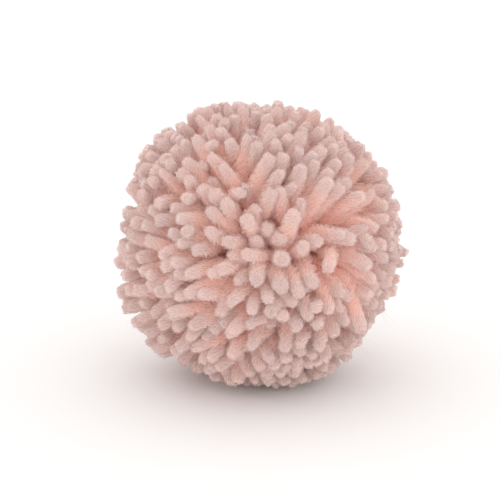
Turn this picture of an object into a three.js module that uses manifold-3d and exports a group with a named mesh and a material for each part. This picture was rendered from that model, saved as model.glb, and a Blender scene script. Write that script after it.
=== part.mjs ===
// A pom pom of thick, softly spun yarn: cut strands that fan out from one bound middle, with their ends trimmed
// to a ball. It stands on a table, in millimetres, with +Z up and the origin at the middle of its foot.
import * as THREE from "three";
import { mergeVertices } from "three/addons/utils/BufferGeometryUtils.js";
import Module from "manifold-3d";

// The ball
const BALL_RADIUS = 44.5; // from the middle to the trimmed ends
const MIDDLE_HEIGHT = 42; // the ball settles, so its middle is lower than its radius
const BOUND_RADIUS = 28; // inside this the strands are pressed into one mass
const BOUND_DETAIL = 1; // how finely the hidden middle is faceted
const TRIM_UNEVENNESS = 1.3; // how far an end stands out of the trimmed ball, or falls short

// The locks, each a strand or two of the yarn
const LOCK_COUNT = 300;
const LOCK_SIDES = 4;
const END_PITCH = 8.6; // the least distance between the cut ends of two locks
const ROOT_PITCH = 5; // and between the places where they leave the bound middle
const ROOT_RADIUS = 8; // where a lock starts as a point, hidden in the bound middle
const BEND_RADIUS = 33; // a lock grows straight out as far as this, and then leans
const END_DOME = 0.8; // how far the middle of a cut end stands proud of its edge

// A lock's girth from root to end: where along it, and its half diagonal there
const GIRTH = [
  { along: 0, half: 0 },
  { along: 0.84, half: 4 },
  { along: 0.95, half: 4.2 },
  { along: 1, half: 2.5 },
];
const END_HALF = GIRTH.at(-1).half;

// Partings, where the locks lean away to both sides. Each is drawn on one face of the ball: turn is how far that
// face is turned from the front, tilt how far it looks up, and its points are right and up on that face.
const FRONT_TILT = 15;
const PARTINGS = [
  { name: "main", turn: 0, tilt: FRONT_TILT, gap: 3.4, points: [[-12, 26], [-9, 15], [-3, 6], [3, -6]] },
  { name: "right", turn: 0, tilt: FRONT_TILT, gap: 2.6, points: [[28, 22], [24, 9], [20, -2], [19, -11]] },
  { name: "left", turn: 0, tilt: FRONT_TILT, gap: 2.2, points: [[-4, -8], [-12, -19], [-20, -21]] },
  { name: "low", turn: 0, tilt: FRONT_TILT, gap: 2.6, points: [[5, -23], [0, -33]] },
  { name: "whorl", turn: 0, tilt: FRONT_TILT, gap: 2.8, points: [[-27, 18], [-21, 9]] },
  { name: "crown", turn: 20, tilt: 75, gap: 2.8, points: [[-20, 6], [0, -3], [19, 8]] },
  { name: "right_side", turn: 85, tilt: 10, gap: 3, points: [[-6, 24], [3, 8], [-2, -10], [8, -25]] },
  { name: "back", turn: 175, tilt: 20, gap: 3.2, points: [[-22, 14], [-7, 7], [5, -8], [19, -16]] },
  { name: "back_low", turn: 200, tilt: 0, gap: 2.6, points: [[-16, -24], [-4, -14]] },
  { name: "left_side", turn: 265, tilt: 5, gap: 3, points: [[14, 22], [2, 10], [0, -6], [-14, -16]] },
];

// Swells and hollows of the trimmed ball, seen on a face as above: around is the angle from the right, up over
// the top, out is how far from the middle of the face, from 0 to 90 at its edge, and rise is in millimetres.
const SWELLS = [
  { turn: 0, tilt: FRONT_TILT, around: 135, out: 85, spread: 20, rise: 1.9 },
  { turn: 0, tilt: FRONT_TILT, around: 215, out: 85, spread: 22, rise: 2.6 },
  { turn: 0, tilt: FRONT_TILT, around: 292, out: 80, spread: 20, rise: 1.3 },
  { turn: 0, tilt: FRONT_TILT, around: 330, out: 85, spread: 20, rise: -1.7 },
  { turn: 0, tilt: FRONT_TILT, around: 90, out: 85, spread: 16, rise: -1.6 },
  { turn: 0, tilt: FRONT_TILT, around: 30, out: 80, spread: 20, rise: 0.4 },
  { turn: 180, tilt: FRONT_TILT, around: 60, out: 50, spread: 26, rise: 1.4 },
  { turn: 180, tilt: FRONT_TILT, around: 230, out: 35, spread: 24, rise: -1.2 },
];

// How the whole coat leans here and there, as waves across the ball: their crests lie apart, and lean sideways
const LEAN_WAVES = [
  { across: [2.1, 1.3, -1.7], start: 0.4, lean: [0.05, -0.04, 0.06] },
  { across: [-1.2, 2.6, 1.9], start: 2.1, lean: [-0.06, 0.05, 0.03] },
  { across: [3.2, -2.2, 2.4], start: 4.4, lean: [0.03, 0.06, -0.05] },
];

const SETTLING_STEPS = 120; // rounds in which crowded ends make room for each other
const SPRING_BACK = 0.02; // the share of its lean that an end takes back in each round
const PLACE_JITTER = 0.08; // how unevenly the locks are set, in radians
const SEED = 20;

const degrees = THREE.MathUtils.degToRad;

// Numbers from 0 to 1, the same ones on each run.
function seededRandom(seed) {
  let state = seed;
  return () => {
    state = (state + 0x6d2b79f5) | 0;
    let mixed = Math.imul(state ^ (state >>> 15), 1 | state);
    mixed = (mixed + Math.imul(mixed ^ (mixed >>> 7), 61 | mixed)) ^ mixed;
    return ((mixed ^ (mixed >>> 14)) >>> 0) / 4294967296;
  };
}

// The direction of a point seen on a face of the ball, from its right, up and towards.
function onFace(right, up, towards, turn, tilt) {
  return new THREE.Vector3(right, -towards, up)
    .applyAxisAngle(new THREE.Vector3(1, 0, 0), -degrees(tilt))
    .applyAxisAngle(new THREE.Vector3(0, 0, 1), degrees(turn))
    .normalize();
}

// A parting's points as directions, close together along its line.
function partingLine({ turn, tilt, points }) {
  const corners = points.map(([right, up]) => {
    const towards = Math.sqrt(BALL_RADIUS ** 2 - right ** 2 - up ** 2);
    return onFace(right, up, towards, turn, tilt);
  });
  const smooth = new THREE.CatmullRomCurve3(corners);
  return smooth.getPoints(8 * points.length).map((point) => point.normalize());
}

const partings = PARTINGS.map((parting) => ({ gap: parting.gap / BALL_RADIUS, line: partingLine(parting) }));

const swells = SWELLS.map(({ turn, tilt, around, out, spread, rise }) => {
  const sideways = Math.sin(degrees(out));
  const right = sideways * Math.cos(degrees(around));
  const up = sideways * Math.sin(degrees(around));
  return { middle: onFace(right, up, Math.cos(degrees(out)), turn, tilt), spread: degrees(spread), rise };
});

// The trimmed ball's radius in a direction.
function trimmedRadius(direction) {
  return swells.reduce((radius, { middle, spread, rise }) => {
    const away = direction.angleTo(middle) / spread;
    return radius + rise * Math.exp(-away * away);
  }, BALL_RADIUS);
}

// How the coat leans at a direction, as a sideways step of its ends on a ball of radius 1.
function leanAt(direction) {
  const step = new THREE.Vector3();
  for (const { across, start, lean } of LEAN_WAVES) {
    const wave = Math.sin(direction.dot(new THREE.Vector3(...across)) * 2 + start);
    step.addScaledVector(new THREE.Vector3(...lean), wave);
  }
  return step.projectOnPlane(direction);
}

// Where the locks grow: evenly over the ball on a spiral, a little out of place.
function rootDirections(random) {
  const golden = Math.PI * (3 - Math.sqrt(5));
  const roots = Array.from({ length: LOCK_COUNT }, (_, i) => {
    const height = 1 - (2 * i + 1) / LOCK_COUNT;
    const across = Math.sqrt(1 - height * height);
    const jitter = new THREE.Vector3(random() - 0.5, random() - 0.5, random() - 0.5).multiplyScalar(PLACE_JITTER);
    return new THREE.Vector3(across * Math.cos(golden * i), across * Math.sin(golden * i), height)
      .add(jitter)
      .normalize();
  });
  for (let step = 0; step < SETTLING_STEPS; step++) makeRoom(roots, ROOT_PITCH / BOUND_RADIUS);
  return roots;
}

// Moves an end out of every parting that it stands in.
function clearPartings(end) {
  for (const { gap, line } of partings) {
    const nearest = line.reduce((best, point) => (end.distanceTo(point) < end.distanceTo(best) ? point : best));
    const away = end.clone().sub(nearest);
    const distance = away.length();
    if (distance < gap && distance > 0) end.addScaledVector(away, (gap - distance) / distance).normalize();
  }
}

// Moves apart all those directions that are nearer than a pitch to each other.
function makeRoom(directions, pitch) {
  directions.forEach((one, i) => {
    for (const other of directions.slice(i + 1)) {
      const apart = other.clone().sub(one);
      const distance = apart.length();
      if (distance >= pitch) continue;
      apart.multiplyScalar((pitch - distance) / distance / 2);
      one.sub(apart).normalize();
      other.add(apart).normalize();
    }
  });
}

// Where the locks end: leaning as the coat does, out of the partings, and clear of each other.
function endDirections(roots) {
  const wanted = roots.map((root) => root.clone().add(leanAt(root)).normalize());
  const ends = wanted.map((direction) => direction.clone());
  for (let step = 0; step < SETTLING_STEPS; step++) {
    ends.forEach((end, i) => {
      end.lerp(wanted[i], SPRING_BACK).normalize();
      clearPartings(end);
    });
    makeRoom(ends, END_PITCH / BALL_RADIUS);
  }
  return ends;
}

// How far out a lock reaches. One whose cut end would pass the table is shorter, and stops just above it.
function reachOf(end, radius) {
  const slant = Math.sqrt(1 - end.z * end.z);
  const toTable = (MIDDLE_HEIGHT - END_HALF * slant) / -end.z;
  return end.z < 0 ? Math.min(radius, toTable) : radius;
}

// A lock's line, from its root in the bound middle to its cut end.
function lockLine(root, end, radius) {
  const reach = reachOf(end, radius);
  return new THREE.QuadraticBezierCurve3(
    root.clone().multiplyScalar(ROOT_RADIUS),
    root.clone().multiplyScalar(Math.min(BEND_RADIUS, 0.8 * reach)),
    end.clone().multiplyScalar(reach),
  );
}

// One lock: a four-sided column bent along its line, from a point at its root to thickest just short of its cut end.
// A lock that the ball stands on ends in a level face on the table.
function lockGeometry(line, roll, isFoot) {
  const rows = GIRTH.length - 1;
  const column = new THREE.CylinderGeometry(1, 0, rows, LOCK_SIDES, rows);
  const lock = mergeVertices(column.deleteAttribute("normal").deleteAttribute("uv"));
  const places = lock.getAttribute("position");
  const stations = GIRTH.map(({ along, half }) => {
    const forward = line.getTangent(along);
    const sideways = new THREE.Vector3(0.31, 0.47, 0.83).cross(forward).normalize().applyAxisAngle(forward, roll);
    return { at: line.getPoint(along), forward, sideways, across: forward.clone().cross(sideways), half };
  });
  for (let i = 0; i < places.count; i++) {
    const row = Math.round(places.getY(i) + rows / 2);
    const { at, forward, sideways, across, half } = stations[row];
    const corner = new THREE.Vector2(places.getX(i), places.getZ(i)).normalize().multiplyScalar(half);
    const point = at.clone().addScaledVector(sideways, corner.y).addScaledVector(across, corner.x);
    const isEnd = row === rows;
    const isEndMiddle = isEnd && corner.length() < half / 2;
    if (isEndMiddle) point.addScaledVector(forward, END_DOME);
    point.z = isEnd && isFoot ? -MIDDLE_HEIGHT : Math.max(point.z, -MIDDLE_HEIGHT);
    places.setXYZ(i, point.x, point.y, point.z);
  }
  return lock;
}

const wasm = await Module();
wasm.setup();

// A closed geometry as a solid that can be joined with others.
function solidFrom(geometry) {
  const bare = geometry.clone();
  for (const name of ["normal", "uv"]) bare.deleteAttribute(name);
  const merged = mergeVertices(bare);
  const vertProperties = merged.getAttribute("position").array;
  const triVerts = new Uint32Array(merged.index.array);
  return new wasm.Manifold(new wasm.Mesh({ numProp: 3, vertProperties, triVerts }));
}

// A joined solid as a geometry that a mesh can show.
function geometryFrom(solid) {
  const { vertProperties, triVerts } = solid.getMesh();
  const geometry = new THREE.BufferGeometry();
  geometry.setAttribute("position", new THREE.BufferAttribute(vertProperties, 3));
  geometry.setIndex(new THREE.BufferAttribute(triVerts, 1));
  geometry.computeVertexNormals();
  return geometry;
}

// The whole ball of locks around its middle, on a bound middle that holds their roots.
function pomPomGeometry() {
  const random = seededRandom(SEED);
  const roots = rootDirections(random);
  const ends = endDirections(roots);
  const bound = solidFrom(new THREE.IcosahedronGeometry(BOUND_RADIUS, BOUND_DETAIL));
  const locks = roots.map((root, i) => {
    const radius = trimmedRadius(ends[i]) + (2 * random() - 1) * TRIM_UNEVENNESS;
    const isFoot = reachOf(ends[i], radius) < radius;
    return solidFrom(lockGeometry(lockLine(root, ends[i], radius), random() * Math.PI, isFoot));
  });
  return geometryFrom(locks.reduce((whole, lock) => whole.add(lock), bound));
}

const yarn = new THREE.MeshStandardMaterial({ color: 0xdcbbb2, roughness: 1, metalness: 0 });
const pomPom = new THREE.Mesh(pomPomGeometry(), yarn);
pomPom.name = "pom_pom";
pomPom.geometry.computeBoundingBox();
const box = pomPom.geometry.boundingBox;
pomPom.position.set(-(box.min.x + box.max.x) / 2, -(box.min.y + box.max.y) / 2, MIDDLE_HEIGHT);

const part = new THREE.Group();
part.add(pomPom);

export default part;
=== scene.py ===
"""A pom pom of thick, softly spun yarn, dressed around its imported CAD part.

The ball is 860 cut strands that fan out from one bound middle. They are laid out and settled against each
other in code, swept by Geometry Nodes, wrapped in two thin halos of loose fibre, and covered with fine hairs.
"""

import logging
import math
from dataclasses import dataclass, field
from enum import Enum

import bpy
import numpy as np
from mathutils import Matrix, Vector


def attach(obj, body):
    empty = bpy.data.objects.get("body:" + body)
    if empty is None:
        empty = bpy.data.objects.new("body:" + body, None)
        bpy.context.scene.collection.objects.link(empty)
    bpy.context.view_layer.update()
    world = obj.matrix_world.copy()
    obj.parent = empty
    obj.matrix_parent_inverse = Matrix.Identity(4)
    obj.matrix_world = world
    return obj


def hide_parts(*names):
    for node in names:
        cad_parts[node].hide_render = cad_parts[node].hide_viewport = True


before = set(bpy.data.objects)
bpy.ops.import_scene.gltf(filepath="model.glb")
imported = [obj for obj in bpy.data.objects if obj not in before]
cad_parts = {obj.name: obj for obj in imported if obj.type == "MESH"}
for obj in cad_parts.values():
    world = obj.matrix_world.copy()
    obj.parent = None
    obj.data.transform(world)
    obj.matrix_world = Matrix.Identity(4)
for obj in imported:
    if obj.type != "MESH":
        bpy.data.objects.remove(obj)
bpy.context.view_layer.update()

LOG = logging.getLogger("pom_pom")
MM = 0.001
MIDDLE_HEIGHT = 42.0
Socket = bpy.types.NodeSocket
Inputs = dict[str | int, object]


class Face(Enum):
    """A side of the ball: how far it is turned from the front, and how far it looks up, in degrees."""

    FRONT = (0.0, 15.0)
    CROWN = (20.0, 75.0)
    RIGHT = (85.0, 10.0)
    BACK = (175.0, 20.0)
    BACK_LOW = (200.0, 0.0)
    LEFT = (265.0, 5.0)

    def direction(self, right: np.ndarray, up: np.ndarray, towards: np.ndarray) -> np.ndarray:
        """Turn places on this face into directions from the ball's middle.

        Args:
            right: How far each place is to the right on the face.
            up: How far up.
            towards: How far towards who looks at the face.

        Returns:
            One unit vector for each place.
        """
        turn, tilt = np.radians(self.value)
        x = np.asarray(right, dtype=float)
        y = -np.asarray(towards, dtype=float)
        z = np.asarray(up, dtype=float)
        tilted_y = y * math.cos(tilt) + z * math.sin(tilt)
        tilted_z = -y * math.sin(tilt) + z * math.cos(tilt)
        turned_x = x * math.cos(turn) - tilted_y * math.sin(turn)
        turned_y = x * math.sin(turn) + tilted_y * math.cos(turn)
        return unit(np.stack([turned_x, turned_y, tilted_z], axis=-1))


def unit(vectors: np.ndarray) -> np.ndarray:
    """Scale vectors to length 1."""
    return vectors / np.maximum(np.linalg.norm(vectors, axis=-1, keepdims=True), 1e-9)


def smooth_line(corners: np.ndarray, count: int) -> np.ndarray:
    """Run a smooth curve through points.

    Args:
        corners: The points, along the last but one axis.
        count: How many points to return.

    Returns:
        Points along the curve, evenly spaced in the curve's own parameter.
    """
    last = corners.shape[-2] - 1
    place = np.linspace(0, last, count)
    step = np.minimum(place.astype(int), last - 1)
    part = (place - step)[:, None]
    before = corners[..., np.maximum(step - 1, 0), :]
    start = corners[..., step, :]
    end = corners[..., step + 1, :]
    after = corners[..., np.minimum(step + 2, last), :]
    bend = 2 * before - 5 * start + 4 * end - after
    swing = 3 * (start - end) + after - before
    return start + 0.5 * part * (end - before + part * (bend + part * swing))


@dataclass(frozen=True)
class Parting:
    """A line along which the strands lean away to both sides.

    gap is half its width at the surface and reach how far off the strands give way. Its points are right and
    up on its face. All are in millimetres.
    """

    face: Face
    gap: float
    reach: float
    points: tuple[tuple[float, float], ...]

    def line(self, radius: float) -> np.ndarray:
        """Give the parting's line as close directions.

        Args:
            radius: The ball's radius in millimetres.

        Returns:
            Unit vectors along the line.
        """
        right, up = np.array(self.points).T
        towards = np.sqrt(radius**2 - right**2 - up**2)
        return unit(smooth_line(self.face.direction(right, up, towards), 12 * len(self.points)))


@dataclass(frozen=True)
class Single:
    """One strand that stands out of the coat, from where its shaft comes up to its cut end.

    Places are right and up on the front face, out is how far its end is from the ball's middle, and half is
    its radius, all in millimetres.
    """

    root: tuple[float, float]
    tip: tuple[float, float]
    out: float
    half: float = 1.38


@dataclass(frozen=True)
class Combing:
    """A field on the front whose strands all lean one way.

    at is its middle, spread how wide it is and lean how far the cut ends are moved, right and up on the front
    face, all in millimetres.
    """

    at: tuple[float, float]
    spread: float
    lean: tuple[float, float]


PARTINGS = (
    Parting(Face.FRONT, 2.6, 9.0, ((-12, 25), (-8.5, 17), (-6, 9), (-1, 1), (3.5, -7))),
    Parting(Face.FRONT, 2.8, 8.0, ((26, 16), (23.5, 8), (21.5, 0), (19.5, -8))),
    Parting(Face.FRONT, 2.0, 6.0, ((-9, -18), (-15, -18.5), (-22, -17))),
    Parting(Face.FRONT, 2.0, 6.0, ((-4, -10.5), (-9, -10), (-14, -9))),
    Parting(Face.FRONT, 2.6, 8.0, ((4.5, -21), (2, -27), (-1.5, -35))),
    Parting(Face.FRONT, 2.6, 7.0, ((-30, 15), (-25, 17), (-21, 13))),
    Parting(Face.FRONT, 1.8, 5.0, ((-28, 4), (-21, 5))),
    Parting(Face.CROWN, 2.4, 8.0, ((-22, 8), (0, -3), (20, 9))),
    Parting(Face.RIGHT, 2.6, 9.0, ((-6, 26), (3, 10), (-2, -8), (8, -26))),
    Parting(Face.BACK, 2.8, 9.0, ((-24, 15), (-7, 7), (5, -8), (20, -17))),
    Parting(Face.BACK_LOW, 2.2, 8.0, ((-18, -25), (-4, -14))),
    Parting(Face.LEFT, 2.6, 9.0, ((14, 24), (2, 10), (0, -6), (-14, -18))),
)

COMBINGS = (
    Combing((8, 13), 11, (9.1, 12.3)),
    Combing((18, 25), 11, (7.8, 10.4)),
    Combing((32, 18), 9, (11.7, 2.6)),
    Combing((32, 3), 10, (14.3, -1.3)),
    Combing((33, -13), 9, (11.7, -5.2)),
    Combing((18, -8), 6, (1.3, -7.0)),
    Combing((17, -20), 7, (-9.1, -2.6)),
    Combing((27, -28), 8, (5.2, -9.1)),
    Combing((8, -29), 8, (-3.9, -10.4)),
    Combing((-5, -27), 8, (-9.1, -9.1)),
    Combing((-22, -28), 10, (-10.4, -5.2)),
    Combing((-8, -1), 7, (-10.4, 6.5)),
    Combing((4, -13), 6, (-1.0, -3.5)),
    Combing((9, -5), 6, (1.5, 1.5)),
    Combing((-6, 6), 5, (0.5, 3.0)),
    Combing((-4, -6), 4, (-3.5, 1.0)),
    Combing((-10, -12), 6, (-10.4, -3.9)),
    Combing((-24, -10), 11, (-14.3, -2.0)),
    Combing((-34, 6), 8, (-10.4, 3.9)),
    Combing((-14, 9), 7, (-9.1, 5.2)),
    Combing((-27, 25), 8, (-7.8, 7.8)),
    Combing((-12, 33), 9, (-3.9, 10.4)),
    Combing((4, 37), 9, (2.6, 10.4)),
)

# Each single strand: its root right and up, its cut end right and up, how far out it ends, its radius.
# The places were read by eye from enlarged views of the photo. A scratch script turned the readings of the
# last 57 rows into millimetres and wrote those rows.
SINGLE_ROWS = (
    (0.5, -1.5, 8.8, 8.2, 45.5, 1.68),
    (5.0, -5.0, 5.7, -4.5, 45.0, 1.68),
    (-3.5, 4.0, -4.4, 6.8, 45.5, 1.58),
    (-5.5, 2.1, -14.8, 9.4, 44.5, 1.33),
    (-3.5, 13.0, 2.6, 24.5, 45.0, 1.68),
    (1.0, 16.5, 6.4, 25.5, 44.0, 1.58),
    (-1.5, 11.5, 5.2, 19.8, 45.5, 1.33),
    (4.5, 11.0, 11.0, 21.2, 45.5, 1.68),
    (-1.5, 4.5, 2.6, 14.0, 45.5, 1.53),
    (12.0, 7.0, 18.8, 17.6, 45.5, 1.68),
    (15.0, 5.0, 22.6, 15.8, 45.0, 1.58),
    (22.0, 11.0, 28.4, 13.4, 45.5, 1.58),
    (26.5, 20.8, 35.6, 20.8, 45.0, 1.68),
    (28.0, 8.5, 30.6, -0.4, 45.5, 1.33),
    (20.8, -2.5, 28.6, -24.8, 46.0, 1.58),
    (-1.0, -6.0, -1.6, -10.4, 45.5, 1.68),
    (5.2, -9.5, 5.6, -12.6, 45.5, 1.68),
    (9.0, -8.0, 10.4, -14.2, 45.0, 1.53),
    (13.5, -6.5, 14.4, -11.2, 45.5, 1.53),
    (-18.5, -10.4, -30.2, -14.0, 45.0, 1.58),
    (-12.5, -19.4, -26.4, -19.8, 45.0, 1.58),
    (-25.0, 26.8, -13.6, 28.9, 44.5, 1.18),
    (-14.0, 19.2, -5.6, 14.0, 44.5, 1.18),
    (1.4, 3.6, 1.6, 4.4, 40.5),
    (-1.2, 0.6, -1.8, 1.0, 40.0),
    (6.0, 0.4, 6.6, 1.4, 41.0),
    (-2.4, 9.0, -2.0, 10.4, 41.5),
    (-8.8, 1.1, -14.8, 3.5, 45.0),
    (-5.3, -4.2, -10.2, 0.4, 44.5),
    (2.7, -7.6, -4.4, -2.9, 45.0),
    (-8.8, -3.0, -18.9, -2.0, 44.5),
    (-5.3, -5.4, -11.8, -7.5, 44.5),
    (-8.8, -8.4, -14.3, -8.7, 44.5),
    (-13.6, -8.9, -21.3, -8.9, 44.5),
    (-26.6, -10.7, -32.9, -8.9, 44.5),
    (-2.6, -13.1, -8.8, -16.8, 45.0),
    (-10.0, -13.7, -17.7, -14.6, 44.0),
    (-1.1, -16.1, -2.9, -19.6, 44.0),
    (1.2, -24.4, -3.2, -30.0, 44.5),
    (-5.3, -27.9, -8.8, -32.7, 44.5),
    (-11.8, -30.3, -14.8, -33.9, 44.5),
    (5.4, -16.1, 6.6, -20.8, 44.5),
    (10.7, -19.0, 10.1, -24.4, 44.5),
    (11.3, -25.6, 11.0, -29.7, 44.0),
    (23.2, -22.6, 16.4, -30.3, 45.0),
    (23.2, -32.7, 19.0, -38.0, 44.5),
    (28.2, -27.3, 27.0, -29.7, 45.0),
    (20.2, -17.8, 14.9, -18.4, 44.5),
    (20.8, -23.2, 15.5, -23.5, 44.5),
    (11.9, -4.8, 11.6, -0.6, 45.0),
    (20.5, 4.7, 18.1, -7.2, 45.5),
    (-7.7, 23.7, -9.1, 29.0, 45.0),
    (-5.3, 23.1, -1.1, 27.8, 45.0),
    (-11.5, 28.4, -12.1, 32.7, 44.5),
    (1.5, 24.3, 3.6, 29.0, 44.5),
    (5.4, 26.6, 7.8, 30.5, 44.5),
    (6.6, 20.7, 10.7, 26.9, 44.5),
    (11.6, 15.4, 15.2, 22.8, 45.0),
    (20.2, 18.3, 25.8, 25.4, 45.0),
    (17.2, 22.5, 21.4, 28.4, 44.5),
    (14.9, 29.0, 17.5, 33.7, 44.5),
    (-26.9, 19.5, -26.0, 23.1, 45.5),
    (-23.1, 16.0, -20.7, 18.3, 44.5),
    (-28.4, 17.1, -31.7, 18.3, 45.0),
    (-26.9, 14.2, -29.6, 11.2, 45.0),
    (-24.0, 14.2, -21.3, 12.4, 44.5),
    (-31.4, 14.8, -34.9, 14.2, 45.0),
    (-19.8, 6.5, -21.3, 2.9, 45.0),
    (-21.3, -4.8, -29.0, -3.6, 44.5),
    (-18.3, -6.0, -25.5, -5.4, 44.5),
    (-29.0, -2.4, -36.1, -4.2, 44.5),
    (28.5, 10.9, 36.2, 10.6, 45.0),
    (29.1, 7.4, 36.2, 7.1, 45.0),
    (30.3, 1.95, 38.0, 2.9, 45.0),
    (26.7, -2.4, 36.2, -4.2, 45.0),
    (28.5, 18.3, 35.0, 20.7, 45.0),
    (25.5, -8.9, 32.1, -10.7, 45.0),
    (26.7, -11.9, 31.5, -14.9, 44.5),
    (20.8, -10.7, 23.2, -14.9, 44.0),
    (-18.9, -22.0, -24.9, -25.0, 44.5),
    (-24.3, -25.6, -29.6, -28.5, 44.5),
    (-16.0, -23.8, -21.3, -27.3, 44.5),
    (-20.7, -18.4, -27.2, -20.8, 44.0),
    (-29.0, -16.1, -35.5, -17.8, 44.5),
)
SINGLES = tuple(Single(row[0:2], row[2:4], *row[4:]) for row in SINGLE_ROWS)

# How far the cut ends reach at the outline, every 15 degrees from the right, up over the top, in millimetres.
# These weren't chosen by hand: a scratch script measured them on the photo, and 20 of them were then corrected
# by the differences that a second script measured between the render's outline and the photo's.
OUTLINE = (
    45.2, 44.0, 45.0, 43.8, 44.3, 44.6, 42.8, 46.3, 45.3, 46.8, 46.7, 43.9,
    43.8, 46.5, 48.5, 47.7, 44.4, 44.7, 43.5, 44.8, 45.3, 42.9, 43.2, 45.0,
)  # fmt: skip


@dataclass(frozen=True)
class StrandPaths:
    """The strands' paths after settling, each from root to cut end, in millimetres around the ball's middle.

    points holds their places, half their radius, from_tip the way left to the cut end, flow their direction
    and tone one number from 0 to 1 for each strand.
    """

    points: np.ndarray
    half: np.ndarray
    from_tip: np.ndarray
    flow: np.ndarray
    tone: np.ndarray


@dataclass
class Coat:
    """The lie of the strands: where they grow, how they lean, and how they make room for each other.

    Lengths are in millimetres, with radii from the ball's middle. root_wander, wild_facing, outline_width and
    foot_height are on a ball of radius 1, and shares go from 0 to 1.
    """

    strand_count: int = 860
    ball_radius: float = 44.6
    root_radius: float = 12.0
    rising_radius: float = 25.0
    packed_radius: float = 25.5
    bend_share: float = 0.78
    bend_to_tip: float = 0.15
    wander: float = 3.4
    bend_wander: float = 2.1
    root_wander: float = 0.045
    root_pitch: float = 4.7
    root_rounds: int = 20
    tip_pitch: float = 5.2
    tip_rounds: int = 90
    tip_return: float = 0.02
    spacing: float = 0.45
    upright_weight: float = 0.03
    room_half: float = 1.8
    least_room: float = 0.3
    loose_radius: float = 18.0
    pair_rounds: int = 6
    pair_slack: float = 1.2
    rows_at_once: int = 1000
    push: float = 0.3
    stiffness: float = 0.2
    path_return: float = 0.03
    wild_fields: int = 46
    wild_facing: float = 0.35
    wild_leans: tuple[float, float] = (9, 14)
    wild_spreads: tuple[float, float] = (7, 11)
    parted_share: float = 0.75
    guard: float = 4.9
    guard_share: float = 0.4
    outline_width: float = 0.45
    trim_inset: float = 0.7
    trim_spread: float = 0.6
    trim_limits: tuple[float, float] = (-2.5, 1.3)
    short_share: float = 0.28
    short_by: tuple[float, float] = (2.5, 7.5)
    foot_height: float = -0.8
    foot_spread: float = 0.8
    foot_half: float = 1.6
    shaft_half: float = 1.42
    girth_spread: float = 0.14
    girth_limits: tuple[float, float] = (0.74, 1.28)
    fluff: float = 0.6
    fluffed_below: float = 40.0
    fluffed_depth: float = 6.0
    fluffed_from_tip: float = 7.0
    node_count: int = 13
    fine_count: int = 60
    settle_rounds: int = 60
    quick_rounds: int = 12
    seed: int = 11
    ring_places: tuple[float, ...] = (0.0, 0.35, 1.3, 3.2, 6.5, 11.0, 17.5, 33.0)
    ring_girths: tuple[float, ...] = (0.6, 0.92, 1.13, 1.2, 1.12, 1.0, 1.0, 1.0)
    random: np.random.Generator = field(init=False)

    def __post_init__(self) -> None:
        """Seed the coat's random numbers."""
        self.random = np.random.default_rng(self.seed)

    def roots(self) -> np.ndarray:
        """Spread the strands' roots evenly over the ball.

        Returns:
            One unit vector for each strand.
        """
        number = np.arange(self.strand_count)
        height = 1 - (2 * number + 1) / self.strand_count
        across = np.sqrt(1 - height**2)
        angle = math.pi * (3 - math.sqrt(5)) * number
        even = np.stack([across * np.cos(angle), across * np.sin(angle), height], axis=1)
        roots = unit(even + self.random.uniform(-self.root_wander, self.root_wander, even.shape))
        for _ in range(self.root_rounds):
            roots = self.make_room(roots, self.root_pitch / self.ball_radius)
        return roots

    def make_room(self, directions: np.ndarray, pitch: float) -> np.ndarray:
        """Move apart directions that are too near to each other.

        Args:
            directions: Unit vectors.
            pitch: The least distance between two of them, on a ball of radius 1.

        Returns:
            The moved unit vectors.
        """
        close = directions @ directions.T > 1 - pitch**2 / 2
        one, other = np.nonzero(np.triu(close, 1))
        apart = directions[other] - directions[one]
        distance = np.maximum(np.linalg.norm(apart, axis=1, keepdims=True), 1e-6)
        step = apart * (pitch - distance) / distance * self.spacing
        moved = directions.copy()
        np.add.at(moved, one, -step)
        np.add.at(moved, other, step)
        return unit(moved)

    def fields(self) -> tuple[np.ndarray, np.ndarray, np.ndarray]:
        """Gather the fields that lean together: the combed ones, and random ones away from the front.

        Returns:
            Their middles as unit vectors, how far they lean on a ball of radius 1, and how wide they are.
        """
        middles: list[np.ndarray] = []
        ways: list[np.ndarray] = []
        spreads: list[float] = []
        for combing in COMBINGS:
            (right, up), (aside, upward) = combing.at, combing.lean
            towards = math.sqrt(self.ball_radius**2 - right**2 - up**2)
            middles.append(Face.FRONT.direction(right, up, towards))
            ways.append(Face.FRONT.direction(aside, upward, 0) * math.hypot(aside, upward))
            spreads.append(combing.spread)
        front = Face.FRONT.direction(0, 0, 1)
        for middle in unit(self.random.normal(0, 1, (self.wild_fields, 3))):
            across = unit(np.cross(middle, self.random.normal(0, 1, 3)))
            if middle @ front < self.wild_facing:
                middles.append(middle)
                ways.append(across * self.random.uniform(*self.wild_leans))
                spreads.append(self.random.uniform(*self.wild_spreads))
        return np.array(middles), np.array(ways) / self.ball_radius, np.array(spreads) / self.ball_radius

    def lean(self, directions: np.ndarray) -> np.ndarray:
        """Lean the whole coat, field by field.

        Args:
            directions: Unit vectors.

        Returns:
            The leaned unit vectors.
        """
        middles, ways, spreads = self.fields()
        away = np.arccos(np.clip(directions @ middles.T, -1, 1)) / spreads
        weight = np.exp(-(away**2))
        step = weight @ ways / (weight.sum(axis=1, keepdims=True) + self.upright_weight)
        along = np.sum(step * directions, axis=1, keepdims=True) * directions
        return unit(directions + step - along)

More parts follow.
